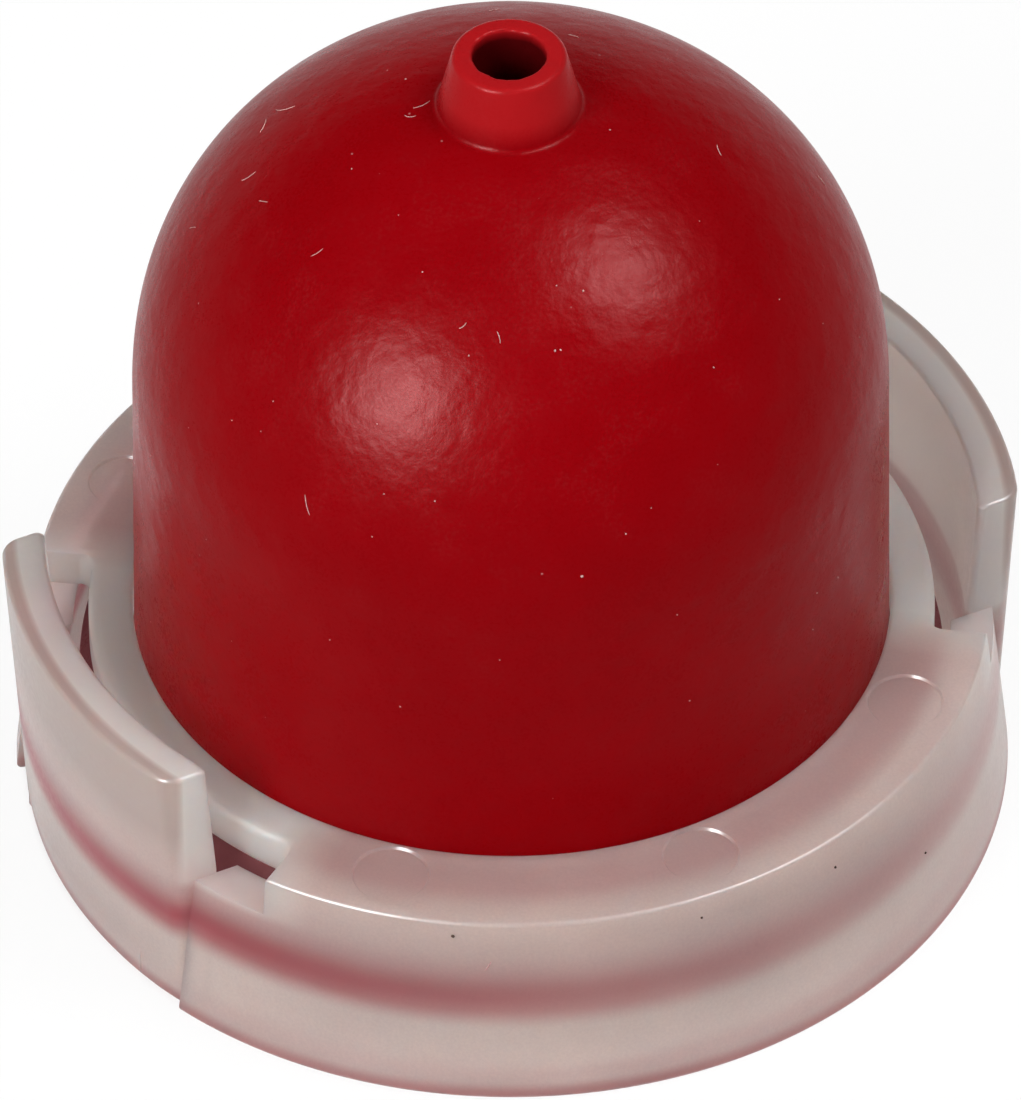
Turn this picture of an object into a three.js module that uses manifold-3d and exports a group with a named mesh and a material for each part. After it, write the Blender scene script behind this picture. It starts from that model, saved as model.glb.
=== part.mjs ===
// Primer bulb: a soft rubber pumping dome held in a moulded plastic retainer ring.
// Millimetres, +Z up. The axis of both pieces is the Z axis, and the ring stands on its rim at z = 0.

import * as THREE from 'three';
import { mergeVertices } from 'three/addons/utils/BufferGeometryUtils.js';
import Module from 'manifold-3d';

const wasm = await Module();
wasm.setup();

// Clearance left between the rubber and the plastic wherever one seats in the other
const FIT_GAP = 0.3;

// How far two joined shapes run into each other
const JOIN_OVERLAP = 0.05;

// Rubber bulb
const BULB_RADIUS = 13.9;          // outside of the wall where the dome starts to round over
const BULB_WALL = 1.6;
const BULB_WALL_DRAFT = 0.014;     // radius gained for each millimetre down the wall
const STRAIGHT_WALL_HEIGHT = 10.3; // from the ring's flange up to the start of the dome
const DOME_RISE = 13.95;
const DOME_FULLNESS = 2.25;        // 2 is an ellipse, and more is a flatter crown
const CROWN_THICKNESS = 1.9;
const FOOT_OVERHANG = 2.25;        // how far the foot stands out past the wall, under the flange
const FOOT_THICKNESS = 4.4;
const FOOT_SLOPE = 1.1;            // bevel of the foot's upper edge
const FOOT_ROUND = 0.5;
const MOUTH_CHAMFER = 0.6;

// Vent nipple on the crown
const NIPPLE_HEIGHT = 2.25;
const NIPPLE_BASE_RADIUS = 2.6;
const NIPPLE_TOP_RADIUS = 2;
const NIPPLE_FILLET = 0.5;
const VENT_RADIUS = 1.3;

// Retainer ring
const FLANGE_THICKNESS = 1.6;
const SKIRT_WALL = 1.5;
const SKIRT_DRAFT = 0.115;         // radius gained for each millimetre down the skirt
const RIM_ROUND = 0.3;

// Finger tabs that stand up from the skirt on two sides
const TAB_AXIS_ANGLE = 26;         // degrees from +X to the middle of the first tab
const TAB_HEIGHT = 3.65;           // above the flange
const TAB_OVERHANG = 1.15;         // top of the tab past the edge of the flange
const TAB_THICKNESS = 1.63;
const TAB_OUTER_DRAFT = 0.049;     // radius lost for each millimetre down the tab's outside
const TAB_INNER_DRAFT = 0.064;
const TAB_HALF_WIDTH = 7.3;        // the two ends of a tab are parallel
const TAB_CORNER_ROUND = 1;

// Curved slots through the flange behind the tabs, and the lugs moulded through them
const SLOT_HALF_ANGLE = 33.7;      // degrees each side of the tab's middle
const SLOT_LIP_ROUND = 0.5;
const SLOT_CORNER_ROUND = 0.95;
const LUG_REACH = 0.7;             // inwards past the skirt's inside wall, under the rubber foot
const LUG_HALF_WIDTH = 5;
const LUG_THICKNESS = 1.2;
const LUG_LEAD_IN = 0.5;
const LUG_ABOVE_RIM = 0.4;

// Round ejector-pin marks on the flange, in two groups between the slots
const PIN_MARK_RADIUS = 1.4;
const PIN_MARK_DEPTH = 0.08;
const PIN_MARK_INSET = 1.5;        // from the flange's hole to the middle of a mark
const PIN_MARK_SPACING = 42;       // degrees
const PIN_MARKS_PER_GROUP = 3;

// Smoothness of the round shapes
const RING_SEGMENTS = 96;
const BULB_SEGMENTS = 64;
const DOME_STEPS = 14;
const ROUND_STEPS = 4;
const ARC_STEPS = 6;
const PIN_SEGMENTS = 24;

// Heights and radii that follow from the sizes above
const lugBottom = LUG_ABOVE_RIM;
const lugTop = lugBottom + LUG_THICKNESS;
const footBottom = lugTop + FIT_GAP;
const footTop = footBottom + FOOT_THICKNESS;
const flangeUnderside = footTop + FIT_GAP;
const flangeTop = flangeUnderside + FLANGE_THICKNESS;
const domeStart = flangeTop + STRAIGHT_WALL_HEIGHT;
const crownHeight = domeStart + DOME_RISE;
const bulbRadiusAt = (z) => BULB_RADIUS + BULB_WALL_DRAFT * (domeStart - z);
const holeRadius = bulbRadiusAt(flangeUnderside) + FIT_GAP;
const footRadius = bulbRadiusAt(footTop) + FOOT_OVERHANG;
const recessRadius = footRadius + FIT_GAP;
const skirtInsideAt = (z) => recessRadius + SKIRT_DRAFT * (flangeUnderside - z);
const skirtOutsideAt = (z) => skirtInsideAt(z) + SKIRT_WALL;
const slotInnerRadius = recessRadius - LUG_REACH;
const tabTop = flangeTop + TAB_HEIGHT;
const tabTopRadius = skirtOutsideAt(flangeTop) + TAB_OVERHANG;
const tabOutsideAt = (z) => tabTopRadius - TAB_OUTER_DRAFT * (tabTop - z);
const tabInsideAt = (z) => tabTopRadius - TAB_THICKNESS - TAB_INNER_DRAFT * (tabTop - z);
const beyond = tabTopRadius + TAB_THICKNESS; // clear of the whole ring

const radians = THREE.MathUtils.degToRad;

// Points of a round corner in a section, about (r, z), from one angle to another in degrees
function cornerPoints(r, z, radius, fromAngle, toAngle) {
  const points = [];
  for (let step = 0; step <= ROUND_STEPS; step += 1) {
    const angle = radians(fromAngle + ((toAngle - fromAngle) * step) / ROUND_STEPS);
    points.push([r + radius * Math.cos(angle), z + radius * Math.sin(angle)]);
  }
  return points;
}

// A closed section of (radius, height) points, turned about the Z axis
function revolve(section, segments) {
  const points = [...section, section[0]].map(([r, z]) => new THREE.Vector2(r, z));
  const geometry = new THREE.LatheGeometry(points, segments);
  geometry.rotateX(Math.PI / 2);
  return geometry;
}

// A flat outline raised from one height to another
function raise(shape, bottom, top) {
  const options = { depth: top - bottom, bevelEnabled: false, curveSegments: ARC_STEPS };
  const geometry = new THREE.ExtrudeGeometry(shape, options);
  geometry.translate(0, 0, bottom);
  return geometry;
}

// A solid for joining and cutting, from a closed geometry
function solidFrom(geometry) {
  const bare = geometry.clone();
  bare.deleteAttribute('normal');
  bare.deleteAttribute('uv');
  const merged = mergeVertices(bare, 1e-4);
  const vertProperties = new Float32Array(merged.attributes.position.array);
  const triVerts = new Uint32Array(merged.index.array);
  return new wasm.Manifold(new wasm.Mesh({ numProp: 3, vertProperties, triVerts }));
}

// The surface of a finished solid
function geometryFrom(solid) {
  const { vertProperties, triVerts } = solid.getMesh();
  const geometry = new THREE.BufferGeometry();
  geometry.setAttribute('position', new THREE.BufferAttribute(vertProperties, 3));
  geometry.setIndex(new THREE.BufferAttribute(triVerts, 1));
  geometry.computeVertexNormals();
  return geometry;
}

// Height of the dome's surface above its start, at a share of the way from the wall to the axis
function domePoint(radius, rise, share) {
  const height = rise * Math.sin((share * Math.PI) / 2);
  return [radius * Math.sqrt(Math.max(0, 1 - (height / rise) ** DOME_FULLNESS)), height];
}

// Height at which a dome has a given radius
function domeHeightAt(radius, rise, wanted) {
  return rise * (1 - (wanted / radius) ** 2) ** (1 / DOME_FULLNESS);
}

// Dome points from the wall up to where the dome has shrunk to the given radius
function domePoints(radius, rise, lastRadius) {
  const lastHeight = domeHeightAt(radius, rise, lastRadius);
  const points = [];
  for (let step = 0; step <= DOME_STEPS; step += 1) {
    const [r, height] = domePoint(radius, rise, step / DOME_STEPS);
    if (height < lastHeight && r > lastRadius) {
      points.push([r, domeStart + height]);
    }
  }
  points.push([lastRadius, domeStart + lastHeight]);
  return points;
}

// Section of the bulb's wall, from the mouth out round the foot, over the dome and back down inside
function bulbSection() {
  const wallAtFoot = bulbRadiusAt(footTop);
  const insideRadius = BULB_RADIUS - BULB_WALL;
  const insideAtFoot = wallAtFoot - BULB_WALL;
  const insideRise = DOME_RISE - CROWN_THICKNESS;
  const footEdge = footRadius - FOOT_ROUND;
  const nippleTop = crownHeight + NIPPLE_HEIGHT;
  const filletRadius = NIPPLE_BASE_RADIUS + NIPPLE_FILLET;
  const filletCentre = domeStart + domeHeightAt(BULB_RADIUS, DOME_RISE, filletRadius) + NIPPLE_FILLET;
  return [
    [insideAtFoot + MOUTH_CHAMFER, footBottom],
    ...cornerPoints(footEdge, footBottom + FOOT_ROUND, FOOT_ROUND, -90, 0),
    [footRadius, footTop - FOOT_SLOPE],
    [footRadius - FOOT_SLOPE, footTop],
    [wallAtFoot, footTop],
    ...domePoints(BULB_RADIUS, DOME_RISE, filletRadius),
    ...cornerPoints(filletRadius, filletCentre, NIPPLE_FILLET, 270, 180).slice(1),
    [NIPPLE_TOP_RADIUS, nippleTop],
    [VENT_RADIUS, nippleTop],
    ...domePoints(insideRadius, insideRise, VENT_RADIUS).reverse(),
    [insideAtFoot, footBottom + MOUTH_CHAMFER],
  ];
}

// Section of the ring where it is plain: flat flange and drafted skirt
function ringSection() {
  const rimOutside = skirtOutsideAt(0);
  const rimInside = skirtInsideAt(0);
  return [
    ...cornerPoints(rimInside + RIM_ROUND, RIM_ROUND, RIM_ROUND, 180, 270),
    ...cornerPoints(rimOutside - RIM_ROUND, RIM_ROUND, RIM_ROUND, 270, 360),
    [skirtOutsideAt(flangeTop), flangeTop],
    [holeRadius, flangeTop],
    [holeRadius, flangeUnderside],
    [recessRadius, flangeUnderside],
  ];
}

// Section of a tab and the stretch of skirt that carries it, down to the rim
function tabSection() {
  const rimInside = skirtInsideAt(0);
  const footOfTab = tabInsideAt(flangeUnderside);
  return [
    ...cornerPoints(rimInside + RIM_ROUND, RIM_ROUND, RIM_ROUND, 180, 270),
    ...cornerPoints(tabOutsideAt(0) - RIM_ROUND, RIM_ROUND, RIM_ROUND, 270, 360),
    [tabTopRadius, tabTop],
    [tabInsideAt(tabTop), tabTop],
    [footOfTab, flangeUnderside],
    [footOfTab, lugTop],
  ];
}

// Outline of a tab seen from above: parallel ends, rounded into the tab's outside
function tabOutline(halfWidth, radius, corner) {
  const cornerCentreX = Math.sqrt((radius - corner) ** 2 - (halfWidth - corner) ** 2);
  const arcAngle = Math.atan2(halfWidth - corner, cornerCentreX);
  const shape = new THREE.Shape();
  shape.moveTo(holeRadius, -halfWidth);
  shape.lineTo(cornerCentreX, -halfWidth);
  shape.absarc(cornerCentreX, corner - halfWidth, corner, -Math.PI / 2, -arcAngle, false);
  shape.absarc(0, 0, radius, -arcAngle, arcAngle, false);
  shape.absarc(cornerCentreX, halfWidth - corner, corner, arcAngle, Math.PI / 2, false);
  shape.lineTo(holeRadius, halfWidth);
  shape.closePath();
  return shape;
}

// Outline of a slot seen from above, open to the outside, with round corners at its inner edge
function slotOutline() {
  const inner = slotInnerRadius - SLOT_LIP_ROUND - FIT_GAP;
  const half = radians(SLOT_HALF_ANGLE);
  const centreRadius = inner + SLOT_CORNER_ROUND;
  const centreAngle = half - Math.asin(SLOT_CORNER_ROUND / centreRadius);
  const centreX = centreRadius * Math.cos(centreAngle);
  const centreY = centreRadius * Math.sin(centreAngle);
  const shape = new THREE.Shape();
  shape.absarc(0, 0, beyond, -half, half, false);
  shape.absarc(centreX, centreY, SLOT_CORNER_ROUND, half + Math.PI / 2, centreAngle + Math.PI, false);
  shape.absarc(0, 0, inner, centreAngle, -centreAngle, true);
  shape.absarc(centreX, -centreY, SLOT_CORNER_ROUND, Math.PI - centreAngle, 1.5 * Math.PI - half, false);
  shape.closePath();
  return shape;
}

// A parallel-sided strip seen from above, from inside the recess out past the tab
function stripOutline(halfWidth) {
  const shape = new THREE.Shape();
  shape.moveTo(holeRadius, -halfWidth);
  shape.lineTo(beyond, -halfWidth);
  shape.lineTo(beyond, halfWidth);
  shape.lineTo(holeRadius, halfWidth);
  shape.closePath();
  return shape;
}

// Everything above the ledge along one slot, with the rounded lip on the flange's side
function slotCutter() {
  const lipStart = slotInnerRadius - SLOT_LIP_ROUND;
  const section = [
    [slotInnerRadius, 0],
    [beyond + FIT_GAP, 0],
    [beyond + FIT_GAP, tabTop],
    [lipStart, tabTop],
    ...cornerPoints(lipStart, flangeTop - SLOT_LIP_ROUND, SLOT_LIP_ROUND, 90, 0),
  ];
  const plan = raise(slotOutline(), flangeUnderside - JOIN_OVERLAP, tabTop + JOIN_OVERLAP);
  return solidFrom(revolve(section, RING_SEGMENTS)).intersect(solidFrom(plan));
}

// The stretch of skirt that a tab takes the place of
function skirtCutter() {
  const section = [
    [footRadius, -JOIN_OVERLAP],
    [beyond, -JOIN_OVERLAP],
    [beyond, flangeUnderside + JOIN_OVERLAP],
    [footRadius, flangeUnderside + JOIN_OVERLAP],
  ];
  const plan = raise(stripOutline(TAB_HALF_WIDTH - JOIN_OVERLAP), -FIT_GAP, flangeTop);
  return solidFrom(revolve(section, RING_SEGMENTS)).intersect(solidFrom(plan));
}

// A tab with the stretch of skirt that carries it
function tabSolid() {
  const outline = tabOutline(TAB_HALF_WIDTH, tabTopRadius, TAB_CORNER_ROUND);
  const plan = raise(outline, -JOIN_OVERLAP, tabTop + JOIN_OVERLAP);
  return solidFrom(revolve(tabSection(), RING_SEGMENTS)).intersect(solidFrom(plan));
}

// A lug inside the skirt, with a sloped lead-in at its lower edge
function lugSolid() {
  const halfwayIntoWall = tabOutsideAt(lugTop) - SKIRT_WALL / 2;
  const section = [
    [slotInnerRadius + LUG_LEAD_IN, lugBottom],
    [halfwayIntoWall, lugBottom],
    [halfwayIntoWall, lugTop],
    [slotInnerRadius, lugTop],
    [slotInnerRadius, lugBottom + LUG_LEAD_IN],
  ];
  const plan = raise(stripOutline(LUG_HALF_WIDTH), 0, lugTop + JOIN_OVERLAP);
  return solidFrom(revolve(section, RING_SEGMENTS)).intersect(solidFrom(plan));
}

// A shallow round mark in the flange at the given angle
function pinMark(angle) {
  const height = 2 * PIN_MARK_RADIUS;
  const geometry = new THREE.CylinderGeometry(PIN_MARK_RADIUS, PIN_MARK_RADIUS, height, PIN_SEGMENTS);
  geometry.rotateX(Math.PI / 2);
  geometry.translate(holeRadius + PIN_MARK_INSET, 0, flangeTop - PIN_MARK_DEPTH + height / 2);
  return solidFrom(geometry).rotate([0, 0, angle]);
}

// Angles of all the pin marks: a group halfway between the slots on each side
function pinMarkAngles() {
  const angles = [];
  for (const groupAngle of [TAB_AXIS_ANGLE + 90, TAB_AXIS_ANGLE - 90]) {
    for (let mark = 0; mark < PIN_MARKS_PER_GROUP; mark += 1) {
      angles.push(groupAngle + (mark - (PIN_MARKS_PER_GROUP - 1) / 2) * PIN_MARK_SPACING);
    }
  }
  return angles;
}

function retainerRing() {
  let ring = solidFrom(revolve(ringSection(), RING_SEGMENTS));
  for (const angle of [TAB_AXIS_ANGLE, TAB_AXIS_ANGLE + 180]) {
    const place = (solid) => solid.rotate([0, 0, angle]);
    ring = ring.subtract(place(slotCutter())).subtract(place(skirtCutter()));
    ring = ring.add(place(tabSolid())).add(place(lugSolid()));
  }
  for (const angle of pinMarkAngles()) {
    ring = ring.subtract(pinMark(angle));
  }
  return geometryFrom(ring);
}

function bulb() {
  return geometryFrom(solidFrom(revolve(bulbSection(), BULB_SEGMENTS)));
}

const RED_RUBBER = new THREE.MeshStandardMaterial({ color: 0x8c0010, roughness: 0.55, metalness: 0 });
const NATURAL_PLASTIC = new THREE.MeshStandardMaterial({ color: 0xc3b7af, roughness: 0.45, metalness: 0 });

function piece(name, geometry, material) {
  const mesh = new THREE.Mesh(geometry, material);
  mesh.name = name;
  return mesh;
}

const primerBulb = new THREE.Group();
primerBulb.name = 'primer_bulb';
primerBulb.add(piece('bulb', bulb(), RED_RUBBER));
primerBulb.add(piece('retainer_ring', retainerRing(), NATURAL_PLASTIC));

export default primerBulb;
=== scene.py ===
# %% [markdown]
# # A primer bulb
#
# The object is the little pump that draws fuel into a small engine before a cold start. It is a red
# rubber dome, held by a ring moulded in natural, uncoloured plastic. This lesson dresses the CAD model
# of it. The CAD model is loaded first, and everything here is built round it, in the same place and to
# the same size.

# %% Load the CAD model and keep its size
import math
import random

import bmesh
import bpy
from mathutils import Matrix, Vector, noise
from mathutils.geometry import tessellate_polygon


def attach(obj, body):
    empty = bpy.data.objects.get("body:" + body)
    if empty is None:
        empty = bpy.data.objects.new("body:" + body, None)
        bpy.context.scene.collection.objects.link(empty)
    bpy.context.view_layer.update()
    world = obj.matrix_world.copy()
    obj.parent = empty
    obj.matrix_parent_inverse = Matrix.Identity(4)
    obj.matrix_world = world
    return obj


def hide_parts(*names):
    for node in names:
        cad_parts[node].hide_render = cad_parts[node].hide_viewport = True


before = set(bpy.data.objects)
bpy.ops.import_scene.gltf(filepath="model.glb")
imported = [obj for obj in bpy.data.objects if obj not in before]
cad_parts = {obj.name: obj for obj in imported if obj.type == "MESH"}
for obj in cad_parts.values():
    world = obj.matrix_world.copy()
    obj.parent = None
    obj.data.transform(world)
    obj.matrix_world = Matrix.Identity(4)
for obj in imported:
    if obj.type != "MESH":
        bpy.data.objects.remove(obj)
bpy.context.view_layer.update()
print("CAD nodes:", sorted(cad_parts))

# %% [markdown]
# ## Millimetres and colours
#
# Blender measures in metres and mixes colours in linear light. A drawing of a small part is easier to
# read in millimetres, and a colour is easier to pick as a hex value, so two small helpers do the
# turning.

# %% Helpers for lengths and colours
MM = 0.001


def linear(hex_colour):
    """Turns an sRGB hex colour, such as "#8E0412", to linear light with an alpha of 1."""
    channels = []
    for start in (1, 3, 5):
        value = int(hex_colour[start:start + 2], 16) / 255
        if value <= 0.04045:
            channels.append(value / 12.92)
        else:
            channels.append(((value + 0.055) / 1.055) ** 2.4)
    return (*channels, 1.0)


print("mid grey in linear light:", [round(channel, 3) for channel in linear("#808080")])

# %% [markdown]
# ## Nodes without clutter
#
# Each material is a small tree of nodes. One function adds a node, sets it up and links it, so that a
# material reads from top to bottom like a recipe. An input is a plain value, or the output of a node
# made before it.


# %% Helpers for node trees
def add_node(tree, kind, settings=None, inputs=None):
    """Adds a shader node, with its settings, and with each input set to a value or linked from an output."""
    made = tree.nodes.new("ShaderNode" + kind)
    for name, value in (settings or {}).items():
        setattr(made, name, value)
    for name, value in (inputs or {}).items():
        if isinstance(value, bpy.types.NodeSocket):
            tree.links.new(value, made.inputs[name])
        else:
            made.inputs[name].default_value = value
    return made


def new_material(name):
    """A material with an empty node tree."""
    material = bpy.data.materials.new(name)
    material.use_nodes = True
    material.node_tree.nodes.clear()
    return material, material.node_tree


# %% [markdown]
# ## The camera
#
# The photograph looks down at the bulb from 43 degrees with a long lens, which keeps the ring's ellipse
# even. The camera stands 450 mm away on the -Y side. Its aim and its slight roll come from fitting the
# ring's edges.

# %% Camera
CAMERA_DISTANCE = 450
CAMERA_ELEVATION = 42.716
CAMERA_ROLL = -0.259
CAMERA_LENS = 393.7
LOOK_ALONG_AXIS = Vector((0, 0, 11.495))
AIM = Vector((-0.033, -0.625, 10.818))


def make_camera():
    """The camera at the photograph's viewing angle."""
    elevation = math.radians(CAMERA_ELEVATION)
    away = Vector((0, -math.cos(elevation), math.sin(elevation)))
    place = LOOK_ALONG_AXIS + CAMERA_DISTANCE * away
    camera = bpy.data.objects.new("camera", bpy.data.cameras.new("camera"))
    camera.data.lens = CAMERA_LENS
    camera.data.sensor_width = 36
    turn = (AIM - place).to_track_quat("-Z", "Y").to_matrix().to_4x4()
    roll = Matrix.Rotation(math.radians(CAMERA_ROLL), 4, "Z")
    camera.matrix_world = Matrix.Translation(place * MM) @ turn @ roll
    camera.data.clip_start = 0.01
    bpy.context.scene.collection.objects.link(camera)
    bpy.context.scene.camera = camera
    return camera


camera = make_camera()
print("camera at", [round(c, 4) for c in camera.matrix_world.translation])

# %% [markdown]
# ## Drawing outlines
#
# Both pieces are mouldings, and no edge of a moulding is quite sharp. So an outline is drawn as a list
# of corners, each with the radius of its rounding, and one function replaces every corner by its arc.
# The same function serves the sections that are turned into round shapes and the plans that are raised
# into tabs.


# %% Helper that rounds the corners of an outline
def rounded(corners, steps=6):
    """A closed outline from (x, y, radius) corners. A radius of 0 leaves the point as it is."""
    outline = []
    count = len(corners)
    for index, (x, y, radius) in enumerate(corners):
        here = Vector((x, y))
        if radius <= 0:
            outline.append((x, y))
            continue
        before = (Vector(corners[index - 1][:2]) - here).normalized()
        after = (Vector(corners[(index + 1) % count][:2]) - here).normalized()
        half_angle = before.angle(after) / 2
        reach = radius / math.tan(half_angle)
        centre = here + (before + after).normalized() * (radius / math.sin(half_angle))
        start = here + before * reach - centre
        turn = start.angle_signed(here + after * reach - centre)
        for step in range(steps + 1):
            angle = -turn * step / steps
            arm = Matrix.Rotation(angle, 2) @ start
            outline.append(tuple(centre + arm))
    return outline


print("a rounded square has", len(rounded([(0, 0, 1), (9, 0, 1), (9, 9, 1), (0, 9, 1)])), "points")

# %% [markdown]
# ## Two ways to make a solid
#
# A section turned about the axis makes the round shapes, as a lathe would. A stack of plans, one for
# each height, makes the shapes with drafted sides, as the two halves of a mould do. Both give closed
# meshes, so they can be cut and joined afterwards.


# %% Helpers that make closed meshes
def mesh_object(name, points, faces):
    """An object from points in millimetres, with its faces turned outwards."""
    mesh = bpy.data.meshes.new(name)
    mesh.from_pydata([Vector(point) * MM for point in points], [], faces)
    builder = bmesh.new()
    builder.from_mesh(mesh)
    bmesh.ops.recalc_face_normals(builder, faces=builder.faces)
    builder.to_mesh(mesh)
    builder.free()
    piece = bpy.data.objects.new(name, mesh)
    bpy.context.scene.collection.objects.link(piece)
    return piece


def turned(name, section, segments, shift=None):
    """A closed section of (radius, height) turned about the Z axis. shift moves a point by its angle."""
    points = []
    for index in range(segments):
        angle = 2 * math.pi * index / segments
        for radius, height in section:
            if shift:
                radius, height = shift(radius, height, angle)
            points.append((radius * math.cos(angle), radius * math.sin(angle), height))
    faces = []
    size = len(section)
    for index in range(segments):
        here, following = index * size, ((index + 1) % segments) * size
        for step in range(size):
            onward = (step + 1) % size
            faces.append((here + step, following + step, following + onward, here + onward))
    return mesh_object(name, points, faces)


def stacked(name, levels):
    """A closed solid from (height, outline) levels that all have the same number of points."""
    size = len(levels[0][1])
    points = [(x, y, height) for height, outline in levels for x, y in outline]
    faces = []
    for level in range(len(levels) - 1):
        low, high = level * size, (level + 1) * size
        for step in range(size):
            onward = (step + 1) % size
            faces.append((low + step, low + onward, high + onward, high + step))
    for level in (0, len(levels) - 1):
        flat = [Vector((x, y, 0)) for x, y in levels[level][1]]
        for triangle in tessellate_polygon([flat]):
            faces.append(tuple(level * size + corner for corner in triangle))
    return mesh_object(name, points, faces)


small_cone = turned("trial_cone", [(1, 0), (2, 0), (1.5, 1)], 12)
print("a trial ring of 12 segments has", len(small_cone.data.polygons), "faces")
bpy.data.objects.remove(small_cone)

# %% [markdown]
# ## Cutting and joining
#
# A slot is cut and a tab is joined with Blender's Boolean modifier. It is applied at once and the tool
# is thrown away, so the finished piece is a plain mesh.


# %% Helper that cuts and joins
def combine(piece, tools, operation):
    """Cuts the tools out of the piece, or joins them to it."""
    for tool in tools:
        modifier = piece.modifiers.new("combine", "BOOLEAN")
        modifier.operation = operation
        modifier.solver = "EXACT"
        modifier.object = tool
        bpy.context.view_layer.update()
        shaped = piece.evaluated_get(bpy.context.evaluated_depsgraph_get())
        mesh = bpy.data.meshes.new_from_object(shaped)
        piece.modifiers.clear()
        piece.data = mesh
        bpy.data.objects.remove(tool)


def spun(piece, degrees):
    """Turns a piece's mesh about the Z axis."""
    piece.data.transform(Matrix.Rotation(math.radians(degrees), 4, "Z"))
    return piece


def soften(piece, sharp_angle):
    """Smooth shading, apart from edges sharper than the angle, with normals led by the larger faces."""
    piece.data.polygons.foreach_set("use_smooth", [True] * len(piece.data.polygons))
    piece.data.set_sharp_from_angle(angle=math.radians(sharp_angle))
    weighted = piece.modifiers.new("weighted normals", "WEIGHTED_NORMAL")
    weighted.keep_sharp = True


def report(piece):
    """Prints how many triangles a piece has."""
    piece.data.calc_loop_triangles()
    print(piece.name, "has", len(piece.data.loop_triangles), "triangles")


print("edges are left sharp only where two faces meet at more than a set angle")

# %% [markdown]
# ## The bulb's shape
#
# The bulb is one rubber moulding: a drafted wall, a dome a little fuller than an ellipse, a foot that
# turns outwards under the ring, and a nipple with a vent on the crown. A lathe section gives all of it.
# The vent of the real one was trimmed of its flash, so its edge wanders a little, and that is added by
# angle.

# %% Sizes of the bulb
FLANGE_TOP = 8.2
DOME_START = 18.509
DOME_RADIUS = 14.0
DOME_RISE = 13.96
DOME_FULLNESS = 2.257
WALL_DRAFT = 0.019
WALL = 1.6
CROWN = 1.9
FOOT_RADIUS = 16.32
FOOT_TOP = 6.3
FOOT_SLOPE = 1.1
FOOT_BOTTOM = 1.9
NIPPLE_TOP = 34.66
NIPPLE_BASE_RADIUS = 2.66
NIPPLE_TOP_RADIUS = 2.06
VENT_RADIUS = 1.34
DOME_STEPS = 72


def dome_height(radius, dome_radius, rise):
    """Height above the dome's start at which it has the given radius."""
    return rise * (1 - (radius / dome_radius) ** 2) ** (1 / DOME_FULLNESS)


def dome_curve(dome_radius, rise, last_radius):
    """Points of a dome from its wall up to the last radius."""
    curve = []
    for step in range(DOME_STEPS):
        height = rise * math.sin(math.pi / 2 * step / DOME_STEPS)
        radius = dome_radius * math.sqrt(1 - (height / rise) ** DOME_FULLNESS)
        if radius > last_radius:
            curve.append((radius, DOME_START + height, 0))
    curve.append((last_radius, DOME_START + dome_height(last_radius, dome_radius, rise), 0))
    return curve


print("the dome is", 2 * DOME_RADIUS, "mm across and starts", DOME_START, "mm above the rim")


# %% Section of the bulb
def bulb_section():
    """From the mouth round the foot, up the wall, over the dome and the nipple, and down inside."""
    foot_wall = DOME_RADIUS + WALL_DRAFT * (DOME_START - FOOT_TOP)
    inside = DOME_RADIUS - WALL
    inside_rise = DOME_RISE - CROWN
    base = DOME_START + dome_height(NIPPLE_BASE_RADIUS, DOME_RADIUS, DOME_RISE)
    corners = [
        (foot_wall - WALL, FOOT_BOTTOM, 0.5),
        (FOOT_RADIUS, FOOT_BOTTOM, 0.5),
        (FOOT_RADIUS, FOOT_TOP - FOOT_SLOPE, 0.3),
        (FOOT_RADIUS - FOOT_SLOPE, FOOT_TOP, 0.3),
        (foot_wall, FOOT_TOP, 0.2),
        (foot_wall - WALL_DRAFT * 2, FOOT_TOP + 2, 0),
        *dome_curve(DOME_RADIUS, DOME_RISE, NIPPLE_BASE_RADIUS + 0.5),
        (NIPPLE_BASE_RADIUS, base, 0.3),
        (NIPPLE_TOP_RADIUS, NIPPLE_TOP, 0.26),
        (VENT_RADIUS, NIPPLE_TOP, 0.16),
        *reversed(dome_curve(inside, inside_rise, VENT_RADIUS)),
    ]
    return rounded(corners)


def trimmed_vent(radius, height, angle):
    """Makes the rim of the vent wander a little, as a trimmed edge does."""
    near = max(0.0, 1 - abs(height - NIPPLE_TOP) / 1.5) * max(0.0, 1 - abs(radius - VENT_RADIUS) / 0.6)
    spot = Vector((2.6 * math.cos(angle), 2.6 * math.sin(angle), height * 0.4))
    return radius + 0.05 * near * noise.noise(spot), height + 0.03 * near * noise.noise(spot * 2)


bulb = turned("bulb_rubber", bulb_section(), 288, trimmed_vent)
soften(bulb, 60)
report(bulb)

# %% [markdown]
# ## The ring's shape
#
# The ring is the plastic part that holds the bulb. A flat flange bears on the rubber foot, and a skirt
# with draft goes down round it. Two curved slots are cut through the flange, and behind each of them a
# finger tab stands up from the skirt. The plain ring is turned first, and then the slots, tabs and lugs
# are added.

# %% Sizes of the ring
HOLE_RADIUS = 14.25
FLANGE_UNDERSIDE = 6.6
SKIRT_TOP_RADIUS = 17.95
SKIRT_RIM_RADIUS = 18.88
SKIRT_WALL = 1.5
RECESS_RADIUS = 16.62
RING_SEGMENTS = 360
TAB_ANGLES = (26, 206)


def ring_section():
    """The flange and the skirt where they are plain."""
    return rounded([
        (HOLE_RADIUS, FLANGE_TOP, 0.14),
        (SKIRT_TOP_RADIUS, FLANGE_TOP, 0.16),
        (SKIRT_RIM_RADIUS, 0, 0.3),
        (SKIRT_RIM_RADIUS - SKIRT_WALL, 0, 0.3),
        (RECESS_RADIUS, FLANGE_UNDERSIDE, 0.25),
        (HOLE_RADIUS, FLANGE_UNDERSIDE, 0.2),
    ])


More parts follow.
